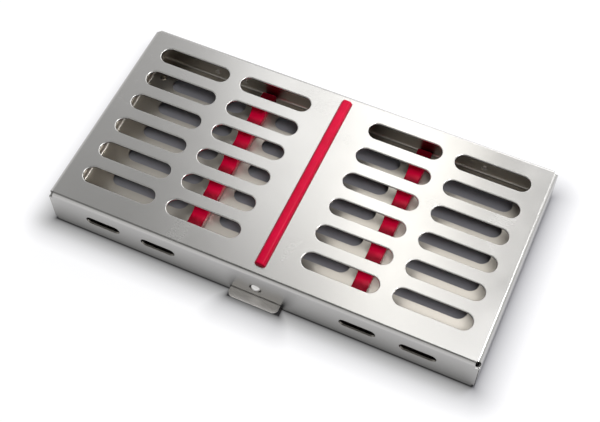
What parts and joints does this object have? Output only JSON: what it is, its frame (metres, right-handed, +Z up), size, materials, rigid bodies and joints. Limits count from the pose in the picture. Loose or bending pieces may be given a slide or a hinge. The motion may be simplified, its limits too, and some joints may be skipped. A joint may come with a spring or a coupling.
{
  "type": "dental instrument cassette",
  "caption": "Hinged, slotted steel tray and cover with silicone rails and a hold-down bar that carries dental instruments through washing and sterilising, with a sprung front latch.",
  "frame": {"origin": "middle of the footprint on the ground, the thumb lip and the hinge knuckles included", "axes": "+X along the length, +Y from the latch towards the hinges, +Z up, out of the cover"},
  "size_m": [0.205, 0.1126, 0.0238],
  "materials": {
    "steel": "satin",
    "silicone": "matte",
    "fastener_steel": "polished",
    "spring_steel": "drawn"
  },
  "bodies": {
    "tray": {"tray": "steel", "left_rail": "silicone", "right_rail": "silicone", "left_rail_studs": "fastener_steel", "right_rail_studs": "fastener_steel", "left_tray_hinge_leaf": "steel", "right_tray_hinge_leaf": "steel", "left_hinge_pin": "fastener_steel", "right_hinge_pin": "fastener_steel", "tray_hinge_rivets": "fastener_steel", "left_latch_ear": "steel", "right_latch_ear": "steel", "latch_pin": "fastener_steel", "latch_spring": "spring_steel", "latch_rivets": "fastener_steel"},
    "cover": {"cover": "steel", "hold_down_bar": "silicone", "left_cover_hinge_leaf": "steel", "right_cover_hinge_leaf": "steel", "cover_hinge_rivets": "fastener_steel"},
    "latch": {"latch_plate": "steel", "latch_button": "fastener_steel"}
  },
  "joints": [
    {"name": "cover_hinge", "type": "hinge", "parent": "tray", "child": "cover", "pos_m": [0, 0.05485, 0.0125], "axis": [-1, 0, 0], "range_deg": [0, 180]},
    {"name": "latch_press", "type": "hinge", "parent": "tray", "child": "latch", "pos_m": [0, -0.0483, 0.017], "axis": [1, 0, 0], "range_deg": [0, 15], "stiffness_Nm_per_rad": 0.1, "springref_deg": -11.46, "deforming": ["latch_spring"]}
  ]
}
